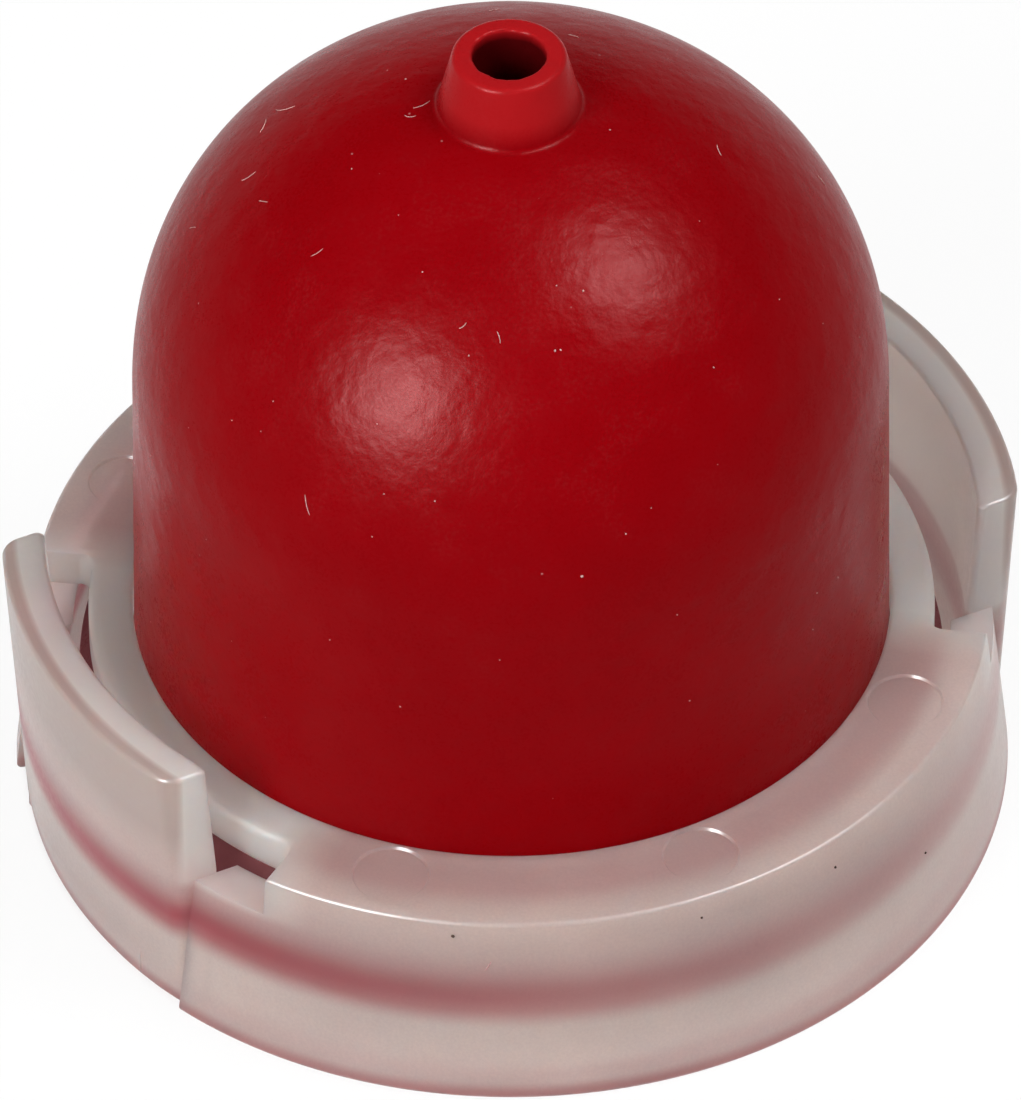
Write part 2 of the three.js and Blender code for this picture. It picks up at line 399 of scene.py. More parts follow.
print("the ring's section has", len(ring_section()), "points")

# %% [markdown]
# ## The slots
#
# A slot's edge facing the bulb is rounded over, which is why it shines in the photograph. Each slot is
# cut with a stack of plans that widen near the top by just that rounding. Its two ends are only eased.

# %% The shape that cuts a slot
SLOT_RADIUS = 15.92
SLOT_HALF_ANGLE = 33.6
SLOT_FLOOR = 6.55
LIP_ROUND = 0.5
END_ROUND = 0.16
BEYOND = 22.0


def widening(height, radius):
    """How far a rounded edge has fallen back at a height just below the flange's top."""
    depth = min(radius, max(0.0, FLANGE_TOP - height))
    return radius - math.sqrt(max(0.0, radius ** 2 - (radius - depth) ** 2))


def slot_plan(height):
    """Plan of a slot about the +X axis, at one height."""
    inner = SLOT_RADIUS - widening(height, LIP_ROUND)
    half = math.radians(SLOT_HALF_ANGLE) + widening(height, END_ROUND) / inner
    corners = []
    for step in range(25):
        angle = half * (step / 12 - 1)
        corners.append((BEYOND * math.cos(angle), BEYOND * math.sin(angle), 0))
    corners.append((inner * math.cos(half), inner * math.sin(half), 0.62))
    for step in range(61):
        angle = (half - 0.07) * (1 - step / 30)
        corners.append((inner * math.cos(angle), inner * math.sin(angle), 0))
    corners.append((inner * math.cos(half), -inner * math.sin(half), 0.62))
    return rounded(corners)


def slot_cutter():
    """A slot and the room above it, open to the outside."""
    heights = [SLOT_FLOOR, FLANGE_TOP - LIP_ROUND]
    for step in range(1, 9):
        heights.append(FLANGE_TOP - LIP_ROUND * math.cos(math.pi / 2 * step / 8) + 0.0001 * step)
    heights.append(FLANGE_TOP + 6)
    return stacked("slot", [(height, slot_plan(height)) for height in heights])


print("a slot's plan has", len(slot_plan(FLANGE_TOP)), "points")

# %% [markdown]
# ## The tabs
#
# A tab leans the other way from the skirt, because it is formed by the other half of the mould. So its
# outside stands proud of the skirt at the top and runs back into it near the rim. Its two ends are
# parallel, and its outer corners are round in plan.

# %% The shape of a tab
TAB_TOP = 11.85
TAB_TOP_RADIUS = 19.09
TAB_THICKNESS = 1.63
TAB_HALF_WIDTH = 7.3
TAB_OUTER_DRAFT = 0.049
TAB_INNER_DRAFT = 0.064
TAB_EDGE_ROUND = 0.18
LUG_TOP = 1.6


def tab_inside(height):
    """Radius of the tab's inside, or of the skirt's inside under it."""
    above = max(height, FLANGE_UNDERSIDE)
    radius = TAB_TOP_RADIUS - TAB_THICKNESS - TAB_INNER_DRAFT * (TAB_TOP - above)
    if height < LUG_TOP:
        share = 1 - height / LUG_TOP
        radius += share * (SKIRT_RIM_RADIUS - SKIRT_WALL - radius)
    return radius


def tab_plan(height, inset):
    """Plan of a tab about the +X axis at one height, drawn in by the inset on all sides."""
    outer = TAB_TOP_RADIUS - TAB_OUTER_DRAFT * (TAB_TOP - height) - inset
    inner = tab_inside(height) + inset
    half = TAB_HALF_WIDTH - inset
    corners = []
    for step in range(41):
        y = (half - 1.3) * (step / 20 - 1)
        corners.append((math.sqrt(outer ** 2 - y ** 2), y, 0))
    corners.append((math.sqrt(outer ** 2 - half ** 2), half, 0.95 - inset))
    corners.append((math.sqrt(inner ** 2 - half ** 2), half, 0.25))
    for step in range(41):
        y = (half - 0.6) * (1 - step / 20)
        corners.append((math.sqrt(inner ** 2 - y ** 2), y, 0))
    corners.append((math.sqrt(inner ** 2 - half ** 2), -half, 0.25))
    corners.append((math.sqrt(outer ** 2 - half ** 2), -half, 0.95 - inset))
    return rounded(corners)


def tab():
    """A tab with the stretch of skirt that carries it."""
    levels = []
    for step in range(6):
        share = math.pi / 2 * step / 5
        levels.append((0.25 - 0.25 * math.cos(share), tab_plan(0, 0.25 - 0.25 * math.sin(share))))
    for height in (LUG_TOP, FLANGE_UNDERSIDE, FLANGE_TOP, FLANGE_TOP + 2):
        levels.append((height, tab_plan(height, 0)))
    for step in range(6):
        share = math.pi / 2 * step / 5
        height = TAB_TOP - TAB_EDGE_ROUND + TAB_EDGE_ROUND * math.sin(share)
        levels.append((height, tab_plan(height, TAB_EDGE_ROUND - TAB_EDGE_ROUND * math.cos(share))))
    return stacked("tab", levels)


print("a tab stands", round(TAB_TOP - FLANGE_TOP, 2), "mm above the flange")

# %% [markdown]
# ## The lugs and the pin marks
#
# Under each slot a lug reaches in below the rubber foot and keeps it in place. On the flange between
# the slots are three shallow round marks, left by the pins that push the moulding out of its mould.
# They are only a few hundredths deep, but their edges catch the light.

# %% The lugs and the pin marks
LUG_HALF_WIDTH = 5.0
LUG_BOTTOM = 0.4
LUG_LEAD_IN = 0.5
PIN_RADIUS = 1.45
PIN_DEPTH = 0.09
PIN_PLACE = 15.87
PIN_ANGLES = (253.6, 295.8, 337.2, 73.6, 115.8, 157.2)


def lug():
    """A lug, drawn into the skirt's wall so that the two join."""
    in_wall = 17.9
    plan = [
        (SLOT_RADIUS, -LUG_HALF_WIDTH), (in_wall, -LUG_HALF_WIDTH),
        (in_wall, LUG_HALF_WIDTH), (SLOT_RADIUS, LUG_HALF_WIDTH),
    ]
    levels = []
    for height, back in ((LUG_BOTTOM, LUG_LEAD_IN), (LUG_BOTTOM + LUG_LEAD_IN, 0), (LUG_TOP, 0)):
        levels.append((height, [(x + back if x < in_wall else x, y) for x, y in plan]))
    return stacked("lug", levels)


def pin_mark(degrees):
    """A shallow dish with a sloping edge."""
    levels = []
    for height, radius in ((-PIN_DEPTH, PIN_RADIUS - 0.09), (0.02, PIN_RADIUS), (0.5, PIN_RADIUS)):
        outline = []
        for step in range(48):
            angle = math.radians(7.5 * step)
            outline.append((PIN_PLACE + radius * math.cos(angle), radius * math.sin(angle)))
        levels.append((FLANGE_TOP + height, outline))
    return spun(stacked("pin_mark", levels), degrees)


print("pin marks:", len(PIN_ANGLES), "each", 2 * PIN_RADIUS, "mm across")

# %% [markdown]
# ## Putting the ring together
#
# The order matters. The slots and the stretches of skirt behind them are cut away first, then the tabs
# and lugs are joined in their place, and the pin marks come last, because they only touch the flange.


# %% Put the ring together
def skirt_cutter():
    """Takes away the stretch of skirt that a tab's own wall replaces."""
    half = TAB_HALF_WIDTH - 0.02
    plan = []
    for step in range(21):
        y = half * (step / 10 - 1)
        plan.append((math.sqrt(16.3 ** 2 - y ** 2), y))
    plan += [(BEYOND, half), (BEYOND, -half)]
    return stacked("skirt_cutter", [(-1, plan), (FLANGE_UNDERSIDE + 0.2, plan)])


ring = turned("retainer_ring_moulding", ring_section(), RING_SEGMENTS)
for tab_angle in TAB_ANGLES:
    combine(ring, [spun(slot_cutter(), tab_angle), spun(skirt_cutter(), tab_angle)], "DIFFERENCE")
    combine(ring, [spun(tab(), tab_angle), spun(lug(), tab_angle)], "UNION")
combine(ring, [pin_mark(angle) for angle in PIN_ANGLES], "DIFFERENCE")
soften(ring, 34)
report(ring)

# %% [markdown]
# ## Where a point is
#
# Both materials change with place: the rubber's foot is painted darker and greyer as shade, and the
# plastic is painted pink in front of that foot, for the red seen through it. The object's own coordinates,
# turned to millimetres, give each point's height and its distance from the axis. They stay on the part
# when the camera moves.


# %% Nodes that measure a point
def measured(tree):
    """A point in millimetres, its X, Y and Z apart, and its distance from the axis."""
    place = add_node(tree, "TexCoord")
    millimetres = add_node(tree, "VectorMath", {"operation": "SCALE"}, {
        0: place.outputs["Object"], "Scale": 1000,
    })
    spot = millimetres.outputs[0]
    axes = add_node(tree, "SeparateXYZ", None, {"Vector": spot})
    flat_spot = add_node(tree, "VectorMath", {"operation": "MULTIPLY"}, {0: spot, 1: (1, 1, 0)})
    radius = add_node(tree, "VectorMath", {"operation": "LENGTH"}, {0: flat_spot.outputs[0]})
    return spot, axes, radius.outputs["Value"]


print("patterns are measured in millimetres, so a noise scale of 0.5 gives patches of 2 mm")

# %% [markdown]
# ## The rubber
#
# The bulb is moulded fuel-resistant rubber, in a deep blood red. A polished mould leaves it satin, so
# the studio lamps show as two soft, cloudy patches. Its red drifts slightly, a thin film and single
# grains of dust lie on it, and painted light makes the thin nipple lighter than the dome, while painted
# shade darkens the vent and the foot. Each of these is a layer mixed over the one before.


# %% The red and the dust on it
def dusty_red(tree, spot, film):
    """The red of the rubber, with a thin film of dust and single grains on it."""
    # Slow change of tone, over about 6 mm
    clouds = add_node(tree, "TexNoise", None, {"Vector": spot, "Scale": 0.16, "Detail": 3})
    tone = add_node(tree, "Mix", {"data_type": "RGBA"}, {
        "Factor": clouds.outputs["Fac"], "A": linear("#810006"), "B": linear("#8D0008"),
    })

    # Film of dust, never more than a fortieth of what is seen
    film_share = add_node(tree, "MapRange", None, {
        "Value": film, "From Min": 0.28, "From Max": 0.5, "To Max": 0.025,
    })
    dusty = add_node(tree, "Mix", {"data_type": "RGBA"}, {
        "Factor": film_share.outputs[0], "A": tone.outputs["Result"], "B": linear("#B06A6C"),
    })

    # Single grains of dust, about 0.08 mm across and 1.1 mm apart, with only some of them there
    cells = add_node(tree, "TexVoronoi", None, {"Vector": spot, "Scale": 0.9})
    near = add_node(tree, "MapRange", None, {
        "Value": cells.outputs["Distance"], "From Min": 0.05, "From Max": 0.02, "To Max": 0.35,
    })
    chosen = add_node(tree, "SeparateColor", None, {"Color": cells.outputs["Color"]})
    some = add_node(tree, "Math", {"operation": "GREATER_THAN"}, {0: chosen.outputs[0], 1: 0.72})
    speck = add_node(tree, "Math", {"operation": "MULTIPLY"}, {0: near.outputs[0], 1: some.outputs[0]})
    dotted = add_node(tree, "Mix", {"data_type": "RGBA"}, {
        "Factor": speck.outputs[0], "A": dusty.outputs["Result"], "B": linear("#D8A6A6"),
    })
    return dotted.outputs["Result"]


# %% The red, with painted light and shade, by place
def red_with_painted_light_and_shade(tree, red, axes, radius):
    """The red, with a painted glow where the rubber is thin, painted shade in the vent, and painted shade,
    darker and greyer, on the foot under the flange.
    """
    # Painted light: the nipple is painted a lighter red, for the light that comes through its thin wall
    thin_high = add_node(tree, "MapRange", None, {
        "Value": axes.outputs["Z"], "From Min": 32.4, "From Max": 33.2,
    })
    thin_narrow = add_node(tree, "MapRange", None, {
        "Value": radius, "From Min": 2.9, "From Max": 2.6, "To Max": 0.7,
    })
    thin = add_node(tree, "Math", {"operation": "MULTIPLY"}, {
        0: thin_high.outputs[0], 1: thin_narrow.outputs[0],
    })
    nipple_painted_glow = add_node(tree, "Mix", {"data_type": "RGBA"}, {
        "Factor": thin.outputs[0], "A": red, "B": linear("#B01A1E"),
    })

    # Painted shade: the vent is painted nearly black, since hardly any light gets into it
    narrow = add_node(tree, "MapRange", None, {"Value": radius, "From Min": 1.6, "From Max": 1.45})
    deep = add_node(tree, "MapRange", None, {
        "Value": axes.outputs["Z"], "From Min": 34.6, "From Max": 34.2, "To Max": 0.85,
    })
    vent_painted_shade = add_node(tree, "Math", {"operation": "MULTIPLY"}, {
        0: narrow.outputs[0], 1: deep.outputs[0],
    })
    with_vent_painted_shade = add_node(tree, "Mix", {"data_type": "RGBA"}, {
        "Factor": vent_painted_shade.outputs[0], "A": nipple_painted_glow.outputs["Result"], "B": linear("#260002"),
    })

    # Painted shade: the foot, shut in under the flange, is painted darker and greyer
    low = add_node(tree, "MapRange", None, {
        "Value": axes.outputs["Z"], "From Min": 7.4, "From Max": 6.8, "To Max": 0.8,
    })
    colour = add_node(tree, "Mix", {"data_type": "RGBA"}, {
        "Factor": low.outputs[0], "A": with_vent_painted_shade.outputs["Result"], "B": linear("#6E4A4E"),
    })
    return colour.outputs["Result"]


# %% [markdown]
# ## The rubber's skin
#
# Two bumps lie on each other: waves of about 1 mm, which break the lamps' reflections into clouds, and
# fine pores. Where the dust film is thicker the rubber is a little rougher. Rubber mirrors little
# light, and what it mirrors is tinted by the red under its skin, so the specular level is low and its
# tint is pink.


# %% Red rubber
def make_red_rubber():
    """Moulded rubber: satin, faintly uneven and dusty."""
    material, tree = new_material("moulded_red_rubber")
    spot, axes, radius = measured(tree)

    # Patches of about 2 mm, broken up by grain of 0.12 mm
    patches = add_node(tree, "TexNoise", None, {"Vector": spot, "Scale": 0.5, "Detail": 5})
    grain = add_node(tree, "TexNoise", None, {"Vector": spot, "Scale": 8.0, "Detail": 2})
    film = add_node(tree, "Math", {"operation": "MULTIPLY"}, {
        0: patches.outputs["Fac"], 1: grain.outputs["Fac"],
    })

    waves = add_node(tree, "TexNoise", None, {"Vector": spot, "Scale": 0.9, "Detail": 2})
    uneven = add_node(tree, "Bump", None, {
        "Height": waves.outputs["Fac"], "Strength": 0.6, "Distance": 0.0001,
    })
    pores = add_node(tree, "Bump", None, {
        "Height": grain.outputs["Fac"], "Strength": 0.35, "Distance": 0.00002, "Normal": uneven.outputs[0],
    })
    gloss = add_node(tree, "MapRange", None, {
        "Value": film.outputs[0], "From Min": 0.1, "From Max": 0.4, "To Min": 0.24, "To Max": 0.36,
    })
    rubber = add_node(tree, "BsdfPrincipled", None, {
        "Base Color": red_with_painted_light_and_shade(tree, dusty_red(tree, spot, film.outputs[0]), axes, radius),
        "Roughness": gloss.outputs[0],
        "Specular IOR Level": 0.04,
        "Specular Tint": linear("#FFC4C4"),
        "Normal": pores.outputs[0],
    })
    add_node(tree, "OutputMaterial", None, {"Surface": rubber.outputs[0]})
    return material


red_rubber = make_red_rubber()
print("made", red_rubber.name)

# %% [markdown]
# ## The plastic's milk
#
# The ring is natural polypropylene, with no pigment in it. Such plastic is milky: light goes in,
# scatters, and comes out beside where it went in. Its milk drifts and is finely frosted. At the two
# slots the ends and inner sides are painted paler, as painted light that runs along inside the walls,
# and the tabs' outsides are painted darker, as painted shade.
# A dot product with the tabs' direction tells how near to a tab a point is.


# %% Milky tone
def nearness_to_slot(tree, spot, radius):
    """1 at the two slots and 0 away from them."""
    tab_axis = math.radians(TAB_ANGLES[0])
    along_tabs = add_node(tree, "VectorMath", {"operation": "DOT_PRODUCT"}, {
        0: spot, 1: (math.cos(tab_axis), math.sin(tab_axis), 0),
    })
    either_side = add_node(tree, "Math", {"operation": "ABSOLUTE"}, {0: along_tabs.outputs["Value"]})
    cosine = add_node(tree, "Math", {"operation": "DIVIDE"}, {0: either_side.outputs[0], 1: radius})
    at_slot = add_node(tree, "MapRange", None, {
        "Value": cosine.outputs[0], "From Min": 0.77, "From Max": 0.86,
    })
    return at_slot.outputs[0]


def milk_with_painted_light_and_shade(tree, spot, axes, radius, at_slot):
    """Milk that drifts over about 5 mm, with frosting of about 0.1 mm, painted light at the slots, and
    painted shade on the tabs' outsides.
    """
    drift = add_node(tree, "TexNoise", None, {"Vector": spot, "Scale": 0.2, "Detail": 4})
    frost = add_node(tree, "TexNoise", None, {"Vector": spot, "Scale": 9.0, "Detail": 1})
    faint_frost = add_node(tree, "Math", {"operation": "MULTIPLY_ADD"}, {
        0: frost.outputs["Fac"], 1: 0.7, 2: -0.35,
    })
    mottle = add_node(tree, "Math", {"operation": "ADD", "use_clamp": True}, {
        0: drift.outputs["Fac"], 1: faint_frost.outputs[0],
    })
    milk = add_node(tree, "Mix", {"data_type": "RGBA"}, {
        "Factor": mottle.outputs[0], "A": linear("#D4C6C2"), "B": linear("#EEDFD7"),
    })
    # Painted light: the tabs' ends and inner sides above the skirt are painted paler, for light that runs
    # along inside the walls
    above_skirt = add_node(tree, "MapRange", None, {
        "Value": axes.outputs["Z"], "From Min": 6.2, "From Max": 6.6,
    })
    inner_side = add_node(tree, "MapRange", None, {
        "Value": radius, "From Min": 18.75, "From Max": 18.45,
    })
    at_slot_high = add_node(tree, "Math", {"operation": "MULTIPLY"}, {
        0: at_slot, 1: above_skirt.outputs[0],
    })
    painted_light_ends = add_node(tree, "Math", {"operation": "MULTIPLY"}, {
        0: at_slot_high.outputs[0], 1: inner_side.outputs[0],
    })
    paler = add_node(tree, "Mix", {"data_type": "RGBA"}, {
        "Factor": painted_light_ends.outputs[0], "A": milk.outputs["Result"], "B": linear("#FBF6F0"),
    })

    # Painted shade: a tab's outside is painted darker, as it has nothing bright behind it
    tab_high = add_node(tree, "MapRange", None, {
        "Value": axes.outputs["Z"], "From Min": 7.0, "From Max": 9.0,
    })
    outer_side = add_node(tree, "MapRange", None, {
        "Value": radius, "From Min": 18.45, "From Max": 18.7,
    })
    outside = add_node(tree, "Math", {"operation": "MULTIPLY"}, {
        0: tab_high.outputs[0], 1: outer_side.outputs[0],
    })
    with_painted_shade = add_node(tree, "Mix", {"data_type": "RGBA"}, {
        "Factor": outside.outputs[0], "A": paler.outputs["Result"], "B": linear("#C6B5AF"),
    })
    return with_painted_shade.outputs["Result"]


# %% [markdown]
# ## The pink in the plastic
#
# Where the red foot lies behind the skirt or under the flange, the milk turns pink. The plastic is
# partly clear, so some of that comes by itself. The rest is painted light, placed by where the foot is:
# a soft band at its height, with a stronger core, a fainter field on the flange above it, and a pink
# rim where the skirt's edge gathers the red.


# %% Share of painted pink
def height_band(tree, axes, heights):
    """1 between the two middle heights, fading to 0 at the outer two."""
    rise = add_node(tree, "MapRange", {"interpolation_type": "SMOOTHSTEP"}, {
        "Value": axes.outputs["Z"], "From Min": heights[0], "From Max": heights[1],
    })
    fall = add_node(tree, "MapRange", {"interpolation_type": "SMOOTHSTEP"}, {
        "Value": axes.outputs["Z"], "From Min": heights[3], "From Max": heights[2],
    })
    band = add_node(tree, "Math", {"operation": "MULTIPLY"}, {0: rise.outputs[0], 1: fall.outputs[0]})
    return band.outputs[0]


def painted_pink_on_skirt(tree, axes, closeness):
    """Painted pink in front of the foot, for the red seen through the skirt, and at the rim, where the
    skirt's edge gathers it.
    """
    near_band = add_node(tree, "Math", {"operation": "MULTIPLY"}, {
        0: height_band(tree, axes, (3.3, 4.3, 4.7, 6.9)), 1: closeness,
    })
    rim = add_node(tree, "MapRange", {"interpolation_type": "SMOOTHSTEP"}, {
        "Value": axes.outputs["Z"], "From Min": 0.9, "From Max": 0.3, "To Max": 0.8,
    })
    either = add_node(tree, "Math", {"operation": "MAXIMUM"}, {
        0: near_band.outputs[0], 1: rim.outputs[0],
    })
    return either.outputs[0]


def painted_pink_on_flange(tree, axes, radius, at_slot):
    """Painted pink on top of the flange, for the red foot seen through it, out to the foot's edge, but not
    at the slots.
    """
    over = add_node(tree, "MapRange", {"interpolation_type": "SMOOTHSTEP"}, {
        "Value": radius, "From Min": 17.2, "From Max": 16.0, "To Max": 0.4,
    })
    high = add_node(tree, "MapRange", None, {
        "Value": axes.outputs["Z"], "From Min": 7.6, "From Max": 8.1,
    })
    away_from_slot = add_node(tree, "Math", {"operation": "SUBTRACT"}, {0: 1.0, 1: at_slot})
    over_high = add_node(tree, "Math", {"operation": "MULTIPLY"}, {
        0: over.outputs[0], 1: high.outputs[0],
    })
    on_flange = add_node(tree, "Math", {"operation": "MULTIPLY"}, {
        0: over_high.outputs[0], 1: away_from_slot.outputs[0],
    })
    return on_flange.outputs[0]


def painted_pink_share(tree, axes, radius, at_slot):
    """How much of the colour is painted pink, for the red foot seen through the plastic."""
    # The painted pink is stronger on the side where the foot bears on the wall, and weaker on the other,
    # where it stands a little off it
    closeness = add_node(tree, "MapRange", None, {
        "Value": axes.outputs["X"], "From Min": 12.0, "From Max": -12.0, "To Min": 0.45, "To Max": 1.0,
    })
    anywhere = add_node(tree, "Math", {"operation": "MAXIMUM"}, {
        0: painted_pink_on_skirt(tree, axes, closeness.outputs[0]), 1: painted_pink_on_flange(tree, axes, radius, at_slot),
    })
    soft_share = add_node(tree, "Math", {"operation": "MULTIPLY"}, {0: anywhere.outputs[0], 1: 0.8})
    near_core = add_node(tree, "Math", {"operation": "MULTIPLY"}, {
        0: height_band(tree, axes, (3.8, 4.8, 5.0, 6.0)), 1: closeness.outputs[0],
    })
    share = add_node(tree, "Math", {"operation": "MULTIPLY_ADD", "use_clamp": True}, {
        0: near_core.outputs[0], 1: 0.2, 2: soft_share.outputs[0],
    })
    return share.outputs[0]


# %% [markdown]
# ## Light in the plastic
#
# Frosted glass alone would be too clear, and paint too dead. The shader is a mix: part of the light
# goes straight through, blurred by the roughness, and the rest scatters over about 2 mm, red furthest.
# Lamps also have to reach what lies behind the wall, so to their rays the plastic is nearly clear.


# %% Natural plastic
def make_natural_plastic():
    """Injection-moulded natural polypropylene: milky and waxy, painted pink where the rubber lies behind it,
    and with painted light and shade at the tabs.
    """
    material, tree = new_material("moulded_natural_polypropylene")
    spot, axes, radius = measured(tree)
    at_slot = nearness_to_slot(tree, spot, radius)
    # Painted pink, for the red foot seen through the plastic, mixed over the milk
    colour = add_node(tree, "Mix", {"data_type": "RGBA"}, {
        "Factor": painted_pink_share(tree, axes, radius, at_slot),
        "A": milk_with_painted_light_and_shade(tree, spot, axes, radius, at_slot),
        "B": linear("#B64A56"),
    })

    # Moulded skin with grain of about 0.25 mm over waves of about 1 mm
    grain = add_node(tree, "TexNoise", None, {"Vector": spot, "Scale": 4.0, "Detail": 1})
    waves = add_node(tree, "TexNoise", None, {"Vector": spot, "Scale": 0.8, "Detail": 2})
    uneven = add_node(tree, "Bump", None, {
        "Height": waves.outputs["Fac"], "Strength": 0.4, "Distance": 0.00006,
    })
    skin = add_node(tree, "Bump", None, {
        "Height": grain.outputs["Fac"], "Strength": 0.25, "Distance": 0.00002, "Normal": uneven.outputs[0],
    })
    gloss = add_node(tree, "MapRange", None, {
        "Value": grain.outputs["Fac"], "From Min": 0.3, "From Max": 0.7, "To Min": 0.28, "To Max": 0.36,
    })
    plastic = add_node(tree, "BsdfPrincipled", None, {
        "Base Color": colour.outputs["Result"],
        "Roughness": gloss.outputs[0],
        "IOR": 1.4,
        "Specular IOR Level": 0.25,
        "Transmission Weight": 0.6,
        "Subsurface Weight": 1.0,
        "Subsurface Radius": (1.0, 0.8, 0.7),
        "Subsurface Scale": 0.0022,
        "Normal": skin.outputs[0],
    })
    rays = add_node(tree, "LightPath")
    through = add_node(tree, "Math", {"operation": "MULTIPLY"}, {
        0: rays.outputs["Is Shadow Ray"], 1: 0.9,
    })
    clear = add_node(tree, "BsdfTransparent")
    milky = add_node(tree, "MixShader", None, {
        0: through.outputs[0], 1: plastic.outputs[0], 2: clear.outputs[0],
    })
    add_node(tree, "OutputMaterial", None, {"Surface": milky.outputs[0]})
    return material


natural_plastic = make_natural_plastic()
print("made", natural_plastic.name)

# %% [markdown]
# ## Lint and dust
#
# Rubber picks up lint, and the photograph shows short pale fibres and grains all over the dome, with a
# few on the ring. Paint would leave them flat, so they are small solids that lie on the surface. A
# fibre is a thin tube that wanders, and a grain is an uneven lump sunk to its middle. The ones in front
# lie where the photograph has them, by azimuth and height, and others are strewn over the back from a
# fixed seed.

# %% Surfaces that the dust lies on
chance = random.Random(7)


def on_bulb(azimuth, height):
    """The point of the bulb's skin at an azimuth in degrees and a height."""
    if height > DOME_START:
        radius = DOME_RADIUS * math.sqrt(1 - ((height - DOME_START) / DOME_RISE) ** DOME_FULLNESS)
    else:
        radius = DOME_RADIUS + WALL_DRAFT * (DOME_START - height)
    turn = math.radians(azimuth)
    return Vector((radius * math.cos(turn), radius * math.sin(turn), height))


def on_skirt(azimuth, height):
    """The point of the skirt's outside at an azimuth in degrees and a height."""
    radius = SKIRT_RIM_RADIUS + (SKIRT_TOP_RADIUS - SKIRT_RIM_RADIUS) * height / FLANGE_TOP
    turn = math.radians(azimuth)
    return Vector((radius * math.cos(turn), radius * math.sin(turn), height))


def outward(surface, azimuth, height):
    """The direction straight out of a surface."""
    here = surface(azimuth, height)
    across = surface(azimuth + 0.1, height) - here
    up = surface(azimuth, height + 0.01) - here
    return across.cross(up).normalized()


print("the dome at 30 mm is", round(on_bulb(0, 30).x, 2), "mm from the axis")


# %% [markdown]
# ## The shapes of lint and dust
#
# A fibre is walked along the surface in short strides, with its heading turning a little at each, and a
# ring of six points is set down at every stride. A grain is three such rings of uneven radius between
# two poles. Both are closed, so they are real solids and not only paint.


# %% Fibres and grains
def fibre(surface, azimuth, height, heading, length, curl, thickness):
    """Points and faces of a thin tube that runs over a surface and bends steadily."""
    steps = 8
    points, faces = [], []
    for step in range(steps + 1):
        here = surface(azimuth, height)
        out = outward(surface, azimuth, height)
        turn = math.radians(heading)
        uphill = (surface(azimuth, height + 0.01) - here).normalized()
        level = uphill.cross(out).normalized()
        if level.dot(surface(azimuth + 0.1, height) - here) < 0:
            level = -level
        along = math.cos(turn) * level + math.sin(turn) * uphill
        side = along.cross(out)
        radius = thickness / 2 * (0.4 if step in (0, steps) else 1.0)
        for corner in range(6):
            angle = math.radians(60 * corner)
            points.append(here + radius * (math.cos(angle) * side + (0.4 + math.sin(angle)) * out))
        stride = length / steps
        azimuth += math.degrees(stride * math.cos(turn) / math.hypot(here.x, here.y))
        height += stride * math.sin(turn) * uphill.z
        heading += curl / steps
    for step in range(steps):
        for corner in range(6):
            following = (corner + 1) % 6
            low, high = 6 * step, 6 * (step + 1)
            faces.append((low + corner, low + following, high + following, high + corner))
    faces.append(tuple(range(5, -1, -1)))
    faces.append(tuple(range(6 * steps, 6 * steps + 6)))
    return points, faces


def grain(surface, azimuth, height, size):
    """Points and faces of an uneven lump, sunk to its middle in a surface."""
    centre = surface(azimuth, height)
    out = outward(surface, azimuth, height)
    level = Vector((-out.y, out.x, 0)).normalized()
    other = out.cross(level)
    points = [centre - size * 0.5 * out]
    for row in (-0.5, 0.0, 0.5):
        for corner in range(6):
            angle = math.radians(60 * corner)
            reach = size / 2 * math.sqrt(1 - row * row) * chance.uniform(0.7, 1.2)
            sideways = math.cos(angle) * level + math.sin(angle) * other
            points.append(centre + reach * sideways + row * size * 0.7 * out)
    points.append(centre + size * 0.45 * out)
    faces = []
    for corner in range(6):
        following = (corner + 1) % 6
        faces.append((0, 1 + following, 1 + corner))
        faces.append((19, 13 + corner, 13 + following))
        for row in (1, 7):
            faces.append((row + corner, row + following, row + 6 + following, row + 6 + corner))
    return points, faces


def gathered(name, parts):
    """One object from the points and faces of many small parts."""
    points, faces = [], []
    for part_points, part_faces in parts:
        start = len(points)
        points += part_points
        faces += [tuple(start + corner for corner in face) for face in part_faces]
    return mesh_object(name, points, faces)


print("one fibre has", len(fibre(on_bulb, 0, 20, 0, 1, 0, 0.05)[0]), "points")

# %% [markdown]
# ## Laying them down
#
# The lists hold what the photograph shows in front. The rest is drawn from the seeded generator, always
# in the same order, so that every run strews the same dust.

# %% Lay the fibres and the grains
# Azimuth, height, heading, length and curl of the fibres that the photograph shows
FIBRES = [
    (216.2, 29.6, 55, 0.55, 30), (236.2, 23.3, -75, 0.8, 20), (174.5, 32.2, -40, 0.7, -60),
    (92.9, 30.7, 20, 0.5, 40), (305.7, 32.3, 80, 0.45, 0), (258.4, 29.4, 25, 0.35, 50),
    (267.0, 29.4, -60, 0.45, -30), (160.8, 29.5, 50, 1.1, 60), (163.2, 29.3, 20, 0.8, -50),
    (181.7, 28.9, 70, 0.7, 40), (191.5, 29.3, 40, 0.5, 0), (182.0, 26.7, 60, 0.5, -20),
    (184.1, 32.0, 30, 0.5, 80), (354.4, 30.4, 40, 0.55, -40), (9.0, 26.7, 60, 0.5, 20),
    (60.2, 31.6, -10, 0.45, 30), (3.0, 32.3, -60, 0.4, 0),
]
